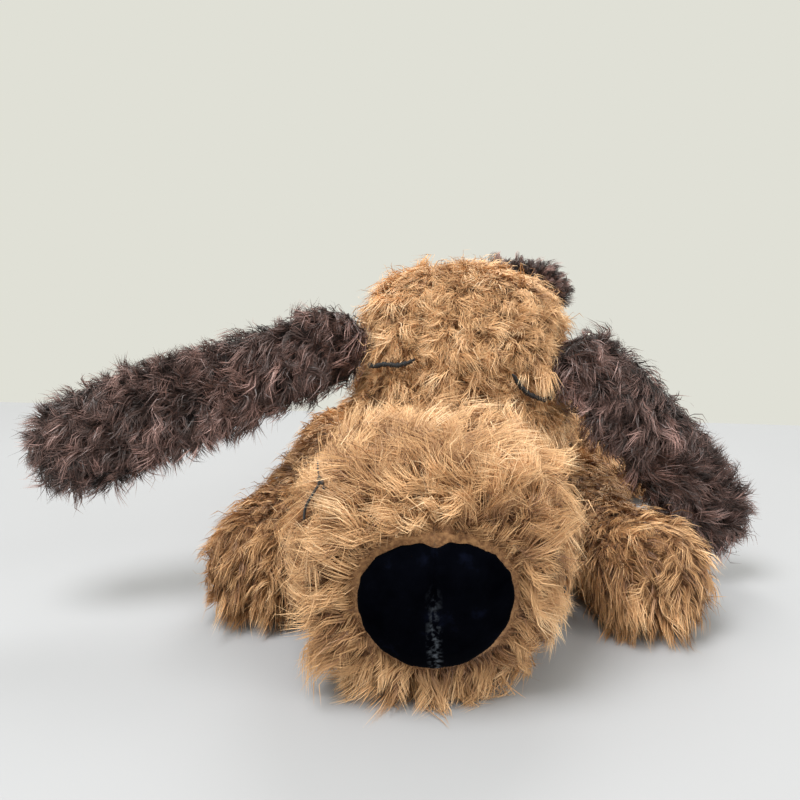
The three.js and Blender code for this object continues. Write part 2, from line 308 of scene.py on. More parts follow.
def thread_material(colour):
    """Spun polyester thread: satin black, with plies 0.5 mm apart drawn as fine light and dark bands."""
    made, tree, shader = finish_material("Embroidery thread", 0.5, 0.1)
    place = add(tree, "ShaderNodeTexCoord").outputs["Object"]
    bands = {"bands_direction": "DIAGONAL"}
    plies = add(tree, "ShaderNodeTexWave", bands, Vector=place, Scale=900.0, Distortion=1.5)
    stops = [(0.2, tinted(colour, (0.5, 0.5, 0.5))), (0.8, tinted(colour, (2, 2, 2)))]
    tree.links.new(ramp(tree, plies.outputs[1], stops), shader.inputs["Base Color"])
    bump = add(tree, "ShaderNodeBump", Height=plies.outputs[1], Strength=0.5, Distance=0.1 * MM)
    tree.links.new(bump.outputs[0], shader.inputs["Normal"])
    return made


def fill_material():
    """Polyester fibrefill: off-white lofty fibres in soft clumps of 8 mm."""
    made, tree, shader = finish_material("Fibrefill", 0.9, 0.5)
    place = add(tree, "ShaderNodeTexCoord").outputs["Object"]
    clumps = add(tree, "ShaderNodeTexNoise", Vector=place, Scale=125.0, Detail=5.0, Roughness=0.7)
    stops = [(0.3, linear("d4cfc2")), (0.7, linear("f4f1e8"))]
    tree.links.new(ramp(tree, clumps.outputs[0], stops), shader.inputs["Base Color"])
    bump = add(tree, "ShaderNodeBump", Height=clumps.outputs[0], Strength=0.8, Distance=1.5 * MM)
    tree.links.new(bump.outputs[0], shader.inputs["Normal"])
    return made


def tape_material():
    """Woven satin label tape: off-white with a 0.7 mm weave, drawn a little coarse so that it shows."""
    made, tree, shader = finish_material("Satin tape", 0.55, 0.2)
    place = add(tree, "ShaderNodeTexCoord").outputs["Object"]
    bands = {"bands_direction": "X"}
    weave = add(tree, "ShaderNodeTexWave", bands, Vector=place, Scale=450.0, Distortion=0.3)
    stops = [(0.2, linear("cfcdc4")), (0.8, linear("f1efe8"))]
    tree.links.new(ramp(tree, weave.outputs[1], stops), shader.inputs["Base Color"])
    bump = add(tree, "ShaderNodeBump", Height=weave.outputs[1], Strength=0.5, Distance=0.15 * MM)
    tree.links.new(bump.outputs[0], shader.inputs["Normal"])
    return made


def paper_material():
    """Matt card: pale grey, with faint clouds of 17 cm that keep it from looking flat."""
    made, tree, shader = finish_material("Matt paper", 0.8, 0, 0.5, 0.2)
    place = add(tree, "ShaderNodeTexCoord").outputs["Object"]
    cloud = add(tree, "ShaderNodeTexNoise", Vector=place, Scale=6.0, Detail=6.0)
    pale = linear("b1b2b5")
    stops = [(0.3, tinted(pale, (0.975, 0.975, 0.975))), (0.7, pale)]
    tree.links.new(ramp(tree, cloud.outputs[0], stops), shader.inputs["Base Color"])
    return made


def floor_material():
    """Evenly lit room: the floor glows as the walls do, so that no line shows between them."""
    made, _, shader = finish_material("Matt floor", 0.8, 0, 0.5, 0)
    shader.inputs["Base Color"].default_value = (0, 0, 0, 1)
    shader.inputs["Emission Color"].default_value = (*linear(ROOM_COLOUR), 1)
    shader.inputs["Emission Strength"].default_value = ROOM_LIGHT
    return made


def finish(name):
    """The named finish, made the first time that it is asked for."""
    found = bpy.data.materials.get(name)
    if found:
        return found
    c = colours()
    if name == "Tan pile":
        # the lowest stops paint the shade deep in the pile and the highest paint pale highlights on the
        # tips; the middle is the tan itself
        shades = [
            (0.0, (0.13, 0.08, 0.06)),
            (0.25, (0.42, 0.32, 0.26)),
            (0.5, (0.98, 0.93, 0.88)),
            (0.75, (1.5, 1.6, 1.75)),
            (1.0, (1.75, 2.2, 2.95)),
        ]
        return pile_material(name, [(p, tinted(c.tan, t)) for p, t in shades], 0.5, 0.12, 0.5)
    if name == "Dark pile":
        # the lowest stops paint the shade deep in the pile; the top stops, up to nine times the dark colour,
        # paint bright highlights on the tips
        shades = [
            (0.0, (0.06, 0.05, 0.05)),
            (0.3, (0.36, 0.33, 0.32)),
            (0.55, (1.05, 1.0, 1.0)),
            (0.75, (3.1, 3.1, 3.1)),
            (1.0, (8.2, 9.0, 9.4)),
        ]
        return pile_material(name, [(p, tinted(c.dark, t)) for p, t in shades], 0.42, 0.12, 0.6)
    # both backings are tinted far darker than their pile, as painted shade deep in the pile between the
    # wisps
    if name == "Tan knit backing":
        return knit_material(name, tinted(c.tan, (0.3, 0.22, 0.17)), tinted(c.tan, (0.7, 0.62, 0.55)))
    if name == "Dark knit backing":
        return knit_material(name, tinted(c.dark, (0.15, 0.15, 0.15)), tinted(c.dark, (0.5, 0.5, 0.5)))
    makers = {
        "Nose velvet": lambda: velvet_material(c.velvet),
        "Embroidery thread": lambda: thread_material(c.thread),
        "Fibrefill": fill_material,
        "Satin tape": tape_material,
    }
    return makers[name]()


# ---- meshes ----


def link(name, mesh):
    """A new object in the scene that holds the mesh."""
    made = bpy.data.objects.new(name, mesh)
    bpy.context.scene.collection.objects.link(made)
    return made


def from_bmesh(name, bm):
    """A new object made from the bmesh, which is freed."""
    mesh = bpy.data.meshes.new(name)
    bm.to_mesh(mesh)
    bm.free()
    return link(name, mesh)


def applied(obj):
    """The same object, with its modifiers made real."""
    graph = bpy.context.evaluated_depsgraph_get()
    mesh = bpy.data.meshes.new_from_object(
        obj.evaluated_get(graph), preserve_all_data_layers=True, depsgraph=graph
    )
    obj.modifiers.clear()
    old, obj.data = obj.data, mesh
    bpy.data.meshes.remove(old)
    return obj


def discard(obj):
    mesh = obj.data
    bpy.data.objects.remove(obj)
    bpy.data.meshes.remove(mesh)


def places(mesh):
    """The vertices' places, as rows."""
    co = np.empty(len(mesh.vertices) * 3, np.float32)
    mesh.vertices.foreach_get("co", co)
    return co.reshape(-1, 3).astype(float)


def normals(mesh):
    """The vertices' normals, as rows."""
    out = np.empty(len(mesh.vertices) * 3, np.float32)
    mesh.vertices.foreach_get("normal", out)
    return out.reshape(-1, 3).astype(float)


def move_to(mesh, points):
    mesh.vertices.foreach_set("co", np.ascontiguousarray(points, np.float32).ravel())
    mesh.update()


def keep(mesh, name, values, kind="FLOAT"):
    """Stores one value for each vertex."""
    attribute = mesh.attributes.get(name) or mesh.attributes.new(name, kind, "POINT")
    field = "vector" if kind == "FLOAT_VECTOR" else "value"
    attribute.data.foreach_set(field, np.ascontiguousarray(values, np.float32).ravel())


def kept(mesh, name, width=1):
    """The values that keep() stored: one for each vertex, or rows of three."""
    out = np.empty(len(mesh.vertices) * width, np.float32)
    mesh.attributes[name].data.foreach_get("vector" if width == 3 else "value", out)
    return out.reshape(-1, width).astype(float) if width > 1 else out.astype(float)


def smooth(bm, times):
    """Moves every vertex halfway to its neighbours' middle, that many times."""
    for _ in range(times):
        bmesh.ops.smooth_vert(
            bm, verts=bm.verts, factor=0.5, use_axis_x=True, use_axis_y=True, use_axis_z=True
        )


def smooth_mesh(mesh, times):
    """The same for a mesh."""
    bm = bmesh.new()
    bm.from_mesh(mesh)
    smooth(bm, times)
    bm.to_mesh(mesh)
    bm.free()


def rows(x, y, z):
    """One vector for each point, from three columns or single numbers."""
    return np.stack(np.broadcast_arrays(x, y, z), 1)


def unit(v):
    """The rows, each at length 1."""
    return v / np.maximum(np.linalg.norm(v, axis=1, keepdims=True), 1e-9)


def solid_of(names):
    """The named CAD solids copied into one bmesh, with their loose triangles merged."""
    bm = bmesh.new()
    for name in names:
        bm.from_mesh(NODES[name].data)
    bmesh.ops.remove_doubles(bm, verts=bm.verts, dist=1e-6)
    return bm


def remeshed(obj, label, size):
    """The object with its surface cut anew into even faces of that size."""
    remesh = obj.modifiers.new(label, "REMESH")
    remesh.mode = "VOXEL"
    remesh.voxel_size = size
    return applied(obj)


def surface(obj):
    """A search tree over the object's faces."""
    return BVHTree.FromPolygons([v.co for v in obj.data.vertices], [f.vertices for f in obj.data.polygons])


def nearness(names):
    """A search tree over the named CAD solids."""
    bm = solid_of(names)
    tree = BVHTree.FromBMesh(bm)
    bm.free()
    return tree


def distances(tree, points, far=0.06):
    """How far each point is from the tree's surface, up to far."""
    return np.array([tree.find_nearest(p, far)[3] or far for p in points.tolist()])


def settle_in(obj, body, slot, *nodes, padded=None):
    """The closing calls of every piece."""
    if obj.data.polygons:
        obj.data.polygons.foreach_set("use_smooth", [True] * len(obj.data.polygons))
    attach(obj, body)
    if nodes:
        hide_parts(*nodes)
    return obj


def covers(body):
    """The body's pile fabric panels."""
    return [n for n in BODIES[body] if SLOTS[n] in PLUSH]


# ---- the stuffed bags that the covers are cut from ----

BAGS = {}
CLOTH_FRAMES = 12
CLOTH_PRESSURE = 4
CLOTH_GRID = 4.2 * MM
TORSO_GRID = 5.5 * MM
ON_TABLE = 5 * MM  # cloth lower than this rests on the table and is pinned
TABLE_GAP = 1.2 * MM
SLIM_BAGS = ("left_ear", "right_ear", "tail")
FINE_BAGS = ("head", "left_ear", "right_ear", "tail", "neck")


def panel_of(body, points, names):
    """For each point, the number of the cover that it lies in."""
    return np.argmin([distances(nearness([n]), points) for n in names], axis=0)


def bag_solids(body):
    """What the body's bag goes round: everything but its stitches and its label."""
    return [n for n in BODIES[body] if SLOTS[n] not in ("black_thread", "label_tape")]


def cut_bag(body):
    """One even cloth bag a little inside the body's solids, with its seams pinned."""
    obj = from_bmesh(body + "_bag", solid_of(bag_solids(body)))
    remeshed(obj, "Even cloth", TORSO_GRID if body == "torso" else CLOTH_GRID)
    outer = nearness(bag_solids(body))
    for _ in range(3):
        smooth_mesh(obj.data, 2)
        move_to(obj.data, np.array([outer.find_nearest(p)[0] for p in places(obj.data).tolist()]))
    smooth_mesh(obj.data, 1)
    inside = 0.6 if body in SLIM_BAGS else 1.0
    move_to(obj.data, places(obj.data) - normals(obj.data) * sizes().depth * inside)
    names = covers(body)
    panel = panel_of(body, places(obj.data), names)
    ends = np.array([e.vertices[:] for e in obj.data.edges])
    seam = np.zeros(len(panel), bool)
    split = panel[ends[:, 0]] != panel[ends[:, 1]]
    seam[ends[split].ravel()] = True
    seam |= places(obj.data)[:, 2] < ON_TABLE
    pins = obj.vertex_groups.new(name="Seams")
    pins.add(np.flatnonzero(seam).tolist(), 1.0, "REPLACE")
    return obj


def inflate(bags):
    """Stuffing pushes every bag out between its seams; how far is capped."""
    start = {o.name: places(o.data) for o in bags}
    for obj in bags:
        cloth = obj.modifiers.new("Stuffing", "CLOTH")
        cloth.settings.use_pressure = True
        cloth.settings.uniform_pressure_force = CLOTH_PRESSURE
        cloth.settings.effector_weights.gravity = 0
        cloth.settings.vertex_group_mass = "Seams"
        cloth.settings.quality = 4
        cloth.point_cache.frame_end = CLOTH_FRAMES
    for at in range(1, CLOTH_FRAMES + 1):
        bpy.context.scene.frame_set(at)
    for obj in bags:
        applied(obj)
        moved = places(obj.data) - start[obj.name]
        far = np.linalg.norm(moved, axis=1, keepdims=True)
        move_to(obj.data, start[obj.name] + moved * np.minimum(1, sizes().puff / np.maximum(far, 1e-9)))
    bpy.context.scene.frame_set(1)


def bag(body):
    """The body's stuffed bag. The first call sews and stuffs them all together."""
    if not BAGS:
        for name in BODIES:
            BAGS[name] = cut_bag(name)
        inflate(list(BAGS.values()))
        for name, obj in BAGS.items():
            if name in FINE_BAGS:
                even = obj.modifiers.new("Even", "SUBSURF")
                even.levels = even.render_levels = 1
                applied(obj)
            at = places(obj.data)
            at[:, 2] = np.maximum(at[:, 2], TABLE_GAP)
            move_to(obj.data, at)
            obj.hide_render = obj.hide_viewport = True
    return BAGS[body]


# ---- pile ----

# density is wisps per square millimetre; clump is the width of a lock of them and curl its wave, in
# millimetres; wander is how far locks turn from the nap, in degrees; shade moves the pile's tone: on the
# skull it is painted light from above, on the muzzle it darkens the pile a little, and on the legs it is
# painted shade together with their darker, rustier pile
LOOKS = {
    "muzzle": {"size": "muzzle_pile", "density": 2.45, "lift": 0.44, "clump": 3.8, "gather": 0.55,
               "wander": 105, "curl": 1.9, "width": 0.74, "shade": -0.02},
    "head": {"size": "head_pile", "density": 2.65, "lift": 0.5, "clump": 2.7, "gather": 0.5,
             "wander": 140, "curl": 1.6, "width": 0.68, "shade": 0.05},
    "leg": {"size": "leg_pile", "density": 1.45, "lift": 0.42, "clump": 3.4, "gather": 0.6,
            "wander": 75, "curl": 1.1, "width": 0.8, "shade": -0.09},
    "back": {"size": "back_pile", "density": 0.65, "lift": 0.42, "clump": 5.0, "gather": 0.6,
             "wander": 50, "curl": 0.9, "width": 1.3, "shade": 0.0},
    "ear": {"size": "ear_pile", "density": 2.1, "lift": 0.5, "clump": 2.6, "gather": 0.6,
            "wander": 120, "curl": 1.5, "width": 0.75, "shade": 0.0},
    "tail": {"size": "tail_pile", "density": 2.1, "lift": 0.85, "clump": 3.4, "gather": 0.8,
             "wander": 80, "curl": 1.2, "width": 0.8, "shade": 0.0},
}
NOSE_MIDDLE = np.array([0.0, -262.0, 46.0]) * MM
SEAM_SPREAD = 2.6 * MM
SEAM_DEPTH = 0.9 * MM
FREE_ROOM = 7 * MM  # a gap to the neighbour as wide as this leaves the pile its full length
BACKING_TONE = 0.2
RUN = {  # the way the pile lies along each limb
    "left_ear": (92, 32, -108),
    "right_ear": (-149, -56, -49),
    "left_foreleg": (40, -131, -60),
    "right_foreleg": (-45, -145, -70),
    "left_hindleg": (78, -102, -50),
    "right_hindleg": (-73, -100, -50),
    "tail": (40, 40, 70),
}


def hem(body, p):
    """How far each point belongs to the fringe that hangs forward onto the table, from 0 to 1."""
    front = {"head": -0.240, "left_foreleg": -0.172, "right_foreleg": -0.184}.get(body)
    if front is None:
        return np.zeros(len(p))
    return np.clip((26 * MM - p[:, 2]) / (16 * MM), 0, 1) * np.clip((front - p[:, 1]) / (12 * MM), 0, 1)


def nap(body, p, n):
    """The unit direction in which the pile lies at each point, along the cloth."""
    x, y, z = p.T
    if body in RUN:
        flow = unit(np.tile(np.array(RUN[body], float), (len(p), 1)))
    elif body == "head":
        skull = rows(x * 12, (y + 0.125) * 16, -0.7)
        fall = np.clip((0.068 - z) / 0.03, 0.05, 1)
        muzzle = unit(p - NOSE_MIDDLE) + rows(0, 0, -(0.55 + 6 * np.abs(x)) * fall)
        front = np.clip((-0.178 - y) / 0.018, 0, 1)[:, None]
        flow = unit(unit(skull) * (1 - front) + unit(muzzle) * front)
    else:
        flow = rows(x * 8, 1, -np.abs(x) * 14)
    fringe = hem(body, p)[:, None]
    flow = unit(flow) * (1 - fringe) + unit(rows(n[:, 0] * 0.3, -1.0, -0.45)) * fringe
    # what is left outward lets fringes hang free of the cloth; the sides lie flatter
    kept_out = np.where(np.abs(n[:, 0]) > 0.7, 0.12, 0.4 if body == "head" else 0.15)[:, None]
    kept_out = kept_out * (1 - fringe) + 0.9 * fringe
    out = (flow * n).sum(1, keepdims=True)
    return unit(flow - n * np.where(out > 0, out * (1 - kept_out), out))


# A wisp's outline as (side, part of its length): a flat blade that narrows to one point
BLADE = ((-1, 0.0), (1, 0.0), (-1, 0.3), (1, 0.3), (-1, 0.62), (1, 0.62), (0, 1.0))


def wisp():
    """One wisp of fibres, still flat: a blade with its outline kept as an attribute, for instancing."""
    bm = bmesh.new()
    corners = [bm.verts.new((side, part, 0)) for side, part in BLADE]
    for row in (0, 2):
        bm.faces.new([corners[row + k] for k in (0, 1, 3, 2)])
    bm.faces.new([corners[k] for k in (4, 5, 6)])
    obj = from_bmesh("wisp", bm)
    keep(obj.data, "ring", places(obj.data), "FLOAT_VECTOR")
    return obj


def scattered(skin, shape, seed):
    """Wisps set out over the skin by its "dense" attribute, still flat, with their roots kept on them."""
    tree = bpy.data.node_groups.new("Pile", "GeometryNodeTree")
    for way in ("INPUT", "OUTPUT"):
        tree.interface.new_socket("Geometry", in_out=way, socket_type="NodeSocketGeometry")
    start = add(tree, "NodeGroupInput")
    dense = add(tree, "GeometryNodeInputNamedAttribute", {"data_type": "FLOAT"}, Name="dense")
    kind = "GeometryNodeDistributePointsOnFaces"
    spots = add(tree, kind, Mesh=start.outputs[0], Density=dense.outputs[0], Seed=seed).outputs[0]
    here = add(tree, "GeometryNodeInputPosition").outputs[0]
    kind = "GeometryNodeStoreNamedAttribute"
    vectors = {"data_type": "FLOAT_VECTOR", "domain": "POINT"}
    rooted = add(tree, kind, vectors, Geometry=spots, Name="root", Value=here).outputs[0]
    one = add(tree, "GeometryNodeObjectInfo", Object=shape).outputs["Geometry"]
    laid = add(tree, "GeometryNodeInstanceOnPoints", Points=rooted, Instance=one)
    real = add(tree, "GeometryNodeRealizeInstances", Geometry=laid.outputs[0])
    add(tree, "NodeGroupOutput", Geometry=real.outputs[0])
    carrier = link("strands", skin.data.copy())
    grow = carrier.modifiers.new("Pile", "NODES")
    grow.node_group = tree
    applied(carrier)
    bpy.data.node_groups.remove(tree)
    return carrier


def swirl(points, scale, offset):
    """A smooth random number from -1 to 1 at each point."""
    shift = Vector((offset, -offset * 0.7, offset * 1.3))
    return np.array([noise.noise(Vector(p) * scale + shift) for p in points.tolist()]) * 1.6


def lay_pile(strands, look, seed):
    """Combs each wisp over along the nap, gathered in waving locks, and never into the table."""
    mesh = strands.data
    rng = np.random.default_rng(seed)
    ring = kept(mesh, "ring", 3)
    step = len(BLADE)
    count = len(ring) // step
    pick = np.arange(count) * step
    root, n, d = (kept(mesh, a, 3)[pick] for a in ("root", "rise", "nap"))
    n, d = unit(n), unit(d)
    length = kept(mesh, "pile")[pick]
    chosen = rng.permutation(count)[: max(1, int(count / max(1, look["density"] * look["clump"] ** 2)))]
    tree = KDTree(len(chosen))
    for i, k in enumerate(chosen):
        tree.insert(root[k], i)
    tree.balance()
    owner = np.array([tree.find(p)[1] for p in root.tolist()])
    each = rng.random((count, 6))
    group = rng.random((len(chosen), 6))[owner]
    stray = each[:, 1] > 0.96
    # the whole lock turns and waves together; a whorl turns its neighbours with it
    whorl = swirl(root[chosen], 34, seed)[owner]
    wayward = (group[:, 0] - 0.5) * 1.3 + whorl + (each[:, 0] - 0.5) * (0.35 + 1.2 * stray)
    turn = kept(mesh, "steady")[pick] * np.radians(look["wander"]) * wayward
    side = np.cross(n, d)
    d = d * np.cos(turn)[:, None] + side * np.sin(turn)[:, None]
    side = unit(np.cross(n, d))
    silky = group[:, 1] > 0.93  # a few long pale locks that lie over the rest
    longer = np.where(stray | silky, 1.25, 1)
    length = length * (0.72 + 0.4 * each[:, 2]) * (0.7 + 0.5 * group[:, 1]) * longer
    lift = look["lift"] * (0.5 + group[:, 2]) * (0.85 + 0.3 * each[:, 3]) + 0.25 * stray
    lift = np.clip(lift, 0.1, 0.95)
    reach = np.sqrt(1 - lift**2)
    t = ring[:step, 1]
    up = (lift * length)[:, None] * (1.9 * t - 0.9 * t**2)
    along = (reach * length)[:, None] * (0.3 * t + 0.7 * t**2)
    at = root[:, None, :] + n[:, None, :] * (up - 0.5 * MM)[..., None] + d[:, None, :] * along[..., None]
    # tips draw together towards the middle of the lock
    pull = (root[chosen][owner] - root) * (look["gather"] * (0.7 + 0.5 * each[:, 4]))[:, None]
    at = at + pull[:, None, :] * (t**1.1)[None, :, None]
    phase = group[:, 4:5] + each[:, 4:5] * 0.12
    bends = (t[None, :] * (0.55 + 0.6 * group[:, 3:4]) + phase) * 2 * math.pi
    wave = np.sin(bends) - np.sin(2 * math.pi * phase)
    at = at + side[:, None, :] * (wave * look["curl"] * MM * (length / (10 * MM))[:, None])[..., None]
    at[..., 2] -= (length * 0.14)[:, None] * t**2
    girth = sizes().strand * look["width"] * (0.6 + 0.8 * each[:, 5]) * np.clip(length / (4 * MM), 0.35, 1)
    tilt = (each[:, 3:4] - 0.5) * 2.2
    broad = side * np.cos(tilt) + n * np.sin(tilt)
    taper = np.where(t < 0.5, 1.0, 0.75)
    at = at + broad[:, None, :] * (ring[:step, 0] * taper * girth[:, None])[..., None] / 2
    at[..., 2] = np.maximum(at[..., 2], 0.5 * MM + 0.3 * MM * each[:, :1])
    move_to(mesh, at.reshape(-1, 3))
    big = swirl(root, 60, seed + 40)
    # the look's shade paints light on the skull and shade on the legs (with their rustier pile); the rest of
    # the tone differs at random by wisp, lock and patch
    tone = 0.36 + look["shade"] + 0.16 * (each[:, 3] - 0.5) + 0.36 * (group[:, 5] - 0.5) + 0.12 * big
    tone = tone + 0.16 * silky
    # painted shade and highlight: the tone climbs 0.52 from root to tip, so that roots darken as if shaded
    # deep in the pile and tips pale as if lit
    tone = tone[:, None] + 0.52 * (t[None, :] ** 0.9) - 0.2 + np.where(each[:, 4:5] > 0.9, 0.2, 0)
    keep(mesh, "tone", np.clip(tone, 0, 1).ravel())
    for name in ("ring", "root", "rise", "nap", "pile", "dense", "steady"):
        mesh.attributes.remove(mesh.attributes[name])
    return strands


def join_to(target, other):
    """Makes the other object part of the target."""
    both = [target, other]
    with bpy.context.temp_override(
        active_object=target, selected_editable_objects=both, selected_objects=both, object=target
    ):
        bpy.ops.object.join()


def bare_spots(body, p):
    """How much of its length the pile keeps near the eyes, the knot and the nose: 0 to 1."""
    if body != "head":
        return np.ones(len(p))
    left = np.ones(len(p))
    for names, room, least in (
        (("left_eye_stitch", "right_eye_stitch"), 9.5 * MM, 0.18),
        (("left_muzzle_stitch", "right_muzzle_stitch"), 9.0 * MM, 0.25),
        (NOSE, 8.0 * MM, 0.4),
    ):
        far = distances(nearness(names), p) / room
        left = np.minimum(left, least + (1 - least) * np.clip(far, 0, 1) ** 1.5)
    return left


def look_of(name, body):
    """Which of LOOKS the cover has."""
    if body == "head":
        return LOOKS["muzzle" if name.startswith(("muzzle", "chin")) else "head"]
    if body in ("torso", "neck", "left_hindleg", "right_hindleg"):
        return LOOKS["back"]
    return LOOKS["ear" if body.endswith("ear") else "tail" if body == "tail" else "leg"]


def seam_nearness(source, panel):
    """How near each of the bag's vertices is to a seam between panels: 0 far from it, 1 on it."""
    at = places(source.data)
    ends = np.full((len(at), 2), [len(panel), -1])
    for k, face in zip(panel.tolist(), source.data.polygons, strict=True):
        for v in face.vertices:
            ends[v] = min(ends[v, 0], k), max(ends[v, 1], k)
    seam = np.flatnonzero(ends[:, 0] != ends[:, 1])
    if not len(seam):
        return np.zeros(len(at))
    tree = KDTree(len(seam))
    for i, k in enumerate(seam):
        tree.insert(at[k], i)
    tree.balance()
    return np.exp(-((np.array([tree.find(p)[2] for p in at.tolist()]) / SEAM_SPREAD) ** 2))


def pile_share(body, at, n, room, groove, under):
    """How much of its full length the pile keeps at each point: less by seams, neighbours and the table."""
    free = np.clip((room - 0.5 * MM) / FREE_ROOM, 0, 1)
    share = free * bare_spots(body, at) * (1 - 0.3 * groove) * (1 - 0.45 * under)
    share *= 1 + 0.25 * hem(body, at)
    if body == "head":
        cheek = np.clip((-at[:, 1] - 0.19) / 0.02, 0, 1) * np.clip((0.06 - at[:, 2]) / 0.03, 0, 1)
        share *= 1 - 0.4 * cheek * np.clip((np.abs(n[:, 0]) - 0.35) / 0.4, 0, 1)
    return share


def grow_cover(source, panel, index, name, body):
    """One cover, cut from the bag that carries the pile's attributes: backing and pile in one piece."""
    look = look_of(name, body)
    shade = "Dark" if SLOTS[name] == "dark_plush" else "Tan"
    bm = bmesh.new()
    bm.from_mesh(source.data)
    bm.faces.ensure_lookup_table()
    away = [bm.faces[i] for i in np.flatnonzero(panel != index)]
    bmesh.ops.delete(bm, geom=away, context="FACES")
    skin = from_bmesh(name + "_cover", bm)
    seed = sizes().seed * 100 + sorted(SLOTS).index(name)
    shape = wisp()
    strands = lay_pile(scattered(skin, shape, seed), look, seed)
    discard(shape)
    for attribute in ("pile", "dense", "rise", "nap", "steady"):
        skin.data.attributes.remove(skin.data.attributes[attribute])
    wall = skin.modifiers.new("Backing", "SOLIDIFY")
    wall.thickness = sizes().backing
    wall.offset = -1
    applied(skin)
    keep(skin.data, "tone", np.full(len(skin.data.vertices), BACKING_TONE))
    skin.data.materials.append(finish(shade + " knit backing"))
    strands.data.materials.clear()
    strands.data.materials.append(finish(shade + " pile"))
    strands.data.polygons.foreach_set("material_index", [0] * len(strands.data.polygons))
    join_to(skin, strands)
    settle_in(skin, body, SLOTS[name], name, padded=0.45)


def sew_covers(body):
    """Cuts the body's bag into its covers at the seams, gives each its backing and grows its pile."""
    source = bag(body)
    names = covers(body)
    at, n = places(source.data), normals(source.data)
    room = distances(nearness([m for b in BODIES if b != body for m in covers(b)]), at, 0.03)
    panel = panel_of(body, np.array([f.center[:] for f in source.data.polygons]), names)
    groove = seam_nearness(source, panel)
    # what presses on the table lies flat and thin, and its seams don't show
    under = np.clip((0.007 - at[:, 2]) / 0.004, 0, 1) * np.clip(-n[:, 2] * 2 - 0.6, 0, 1)
    at[:, :] -= n * (groove * (1 - under))[:, None] * SEAM_DEPTH
    share = pile_share(body, at, n, room, groove, under)
    velvet = distances(nearness(NOSE), at) if body == "head" else np.full(len(at), 1.0)
    crowd = 0.35 + 0.65 * np.clip(room / (4 * MM), 0, 1)
    dense = np.where((share < 0.06) | (velvet < 1.6 * MM), 0, 1) * (1 - 0.7 * under) * crowd
    move_to(source.data, at)
    keep(source.data, "rise", n, "FLOAT_VECTOR")
    keep(source.data, "nap", nap(body, at, n), "FLOAT_VECTOR")
    # next to the nose the pile keeps to its nap, so that no lock falls over the velvet
    keep(source.data, "steady", np.clip(velvet / (15 * MM), 0.15, 1) if body == "head" else velvet)
    for index, name in enumerate(names):
        look = look_of(name, body)
        keep(source.data, "pile", share * getattr(sizes(), look["size"]))
        keep(source.data, "dense", dense * look["density"] * 1e6)
        grow_cover(source, panel, index, name, body)


class SewBody(bpy.types.Operator):
    """Sews the body's two back panels and its belly panel"""

    bl_idname = "plush.sew_body"
    bl_label = "Body covers"

    def execute(self, context):
        sew_covers("torso")
        return {"FINISHED"}


class SewNeck(bpy.types.Operator):
    """Sews the two halves of the neck"""

    bl_idname = "plush.sew_neck"
    bl_label = "Neck covers"

    def execute(self, context):
        sew_covers("neck")
        return {"FINISHED"}


class SewHead(bpy.types.Operator):
    """Sews the skull's sides and gusset, the muzzle's sides and the chin, with their long pile"""

    bl_idname = "plush.sew_head"
    bl_label = "Head covers"

    def execute(self, context):
        sew_covers("head")
        return {"FINISHED"}


class SewEars(bpy.types.Operator):
    """Sews the fronts and linings of both ears, in matted dark pile"""

    bl_idname = "plush.sew_ears"
    bl_label = "Ears"

    def execute(self, context):
        sew_covers("left_ear")
        sew_covers("right_ear")
        return {"FINISHED"}


class SewLegs(bpy.types.Operator):
    """Sews the inner and outer halves of the four legs"""

    bl_idname = "plush.sew_legs"
    bl_label = "Legs"

    def execute(self, context):
        for body in ("left_foreleg", "right_foreleg", "left_hindleg", "right_hindleg"):
            sew_covers(body)
        return {"FINISHED"}


class SewTail(bpy.types.Operator):
    """Sews the two halves of the curled tail, in tufted dark pile"""

    bl_idname = "plush.sew_tail"
    bl_label = "Tail"

    def execute(self, context):
        sew_covers("tail")
        return {"FINISHED"}


# ---- nose, eyes and stitches ----


class SewNose(bpy.types.Operator):
    """Makes the two halves of the padded velvet nose, with the seam between them"""

    bl_idname = "plush.sew_nose"
    bl_label = "Velvet nose"

    def execute(self, context):
        obj = remeshed(from_bmesh("nose_pad", solid_of(NOSE)), "Even velvet", 1.1 * MM)
        bm = bmesh.new()
        bm.from_mesh(obj.data)
        smooth(bm, 6)
        for v in bm.verts:
            across, upward = v.co.x / MM, v.co.z / MM
            front = max(0.0, -v.normal.y)
            seam = math.exp(-((across / 1.1) ** 2)) * (0.3 + 0.7 * min(1, max(0, (upward - 34) / 16)))
            rim = min(1.0, (across / 27) ** 2 + ((upward - 43) / 25) ** 2)
            fold = 0.5 * math.sin(across * 0.33 + 1) * math.sin(upward * 0.21)
            v.co.y += (1.5 * seam - 1.2 - 2.6 * (1 - rim**2) - fold) * front * MM
            v.co.z -= 2.4 * math.exp(-((across / 3.2) ** 2)) * min(1, max(0, (upward - 58) / 8)) * MM
        for name, keep_left in (("nose_left", True), ("nose_right", False)):
            half = bm.copy()
            cut = bmesh.ops.bisect_plane(
                half,
                geom=half.verts[:] + half.edges[:] + half.faces[:],
                dist=1e-6,
                plane_co=(0, 0, 0),
                plane_no=(1, 0, 0),
                clear_inner=keep_left,
                clear_outer=not keep_left,
            )
            bmesh.ops.holes_fill(
                half, edges=[e for e in cut["geom_cut"] if isinstance(e, bmesh.types.BMEdge)]
            )
            made = from_bmesh(name + "_velvet", half)
            made.data.materials.append(finish("Nose velvet"))
            settle_in(made, "head", "nose_velvet", name, padded=0.7)
        bm.free()
        discard(obj)
        return {"FINISHED"}


EYE_LIFT = 6.6 * MM  # how far the eyes' stitches stand off the backing, on top of the pressed pile
EYES = {  # each closed eye's line, in millimetres across and up
    "left_eye_stitch": [(23, 113), (27, 106.6), (31, 103.6), (38, 100.5), (40.5, 96.6)],
    "right_eye_stitch": [(-17, 118.6), (-22, 116), (-29, 115.6), (-34.6, 112.3)],
}


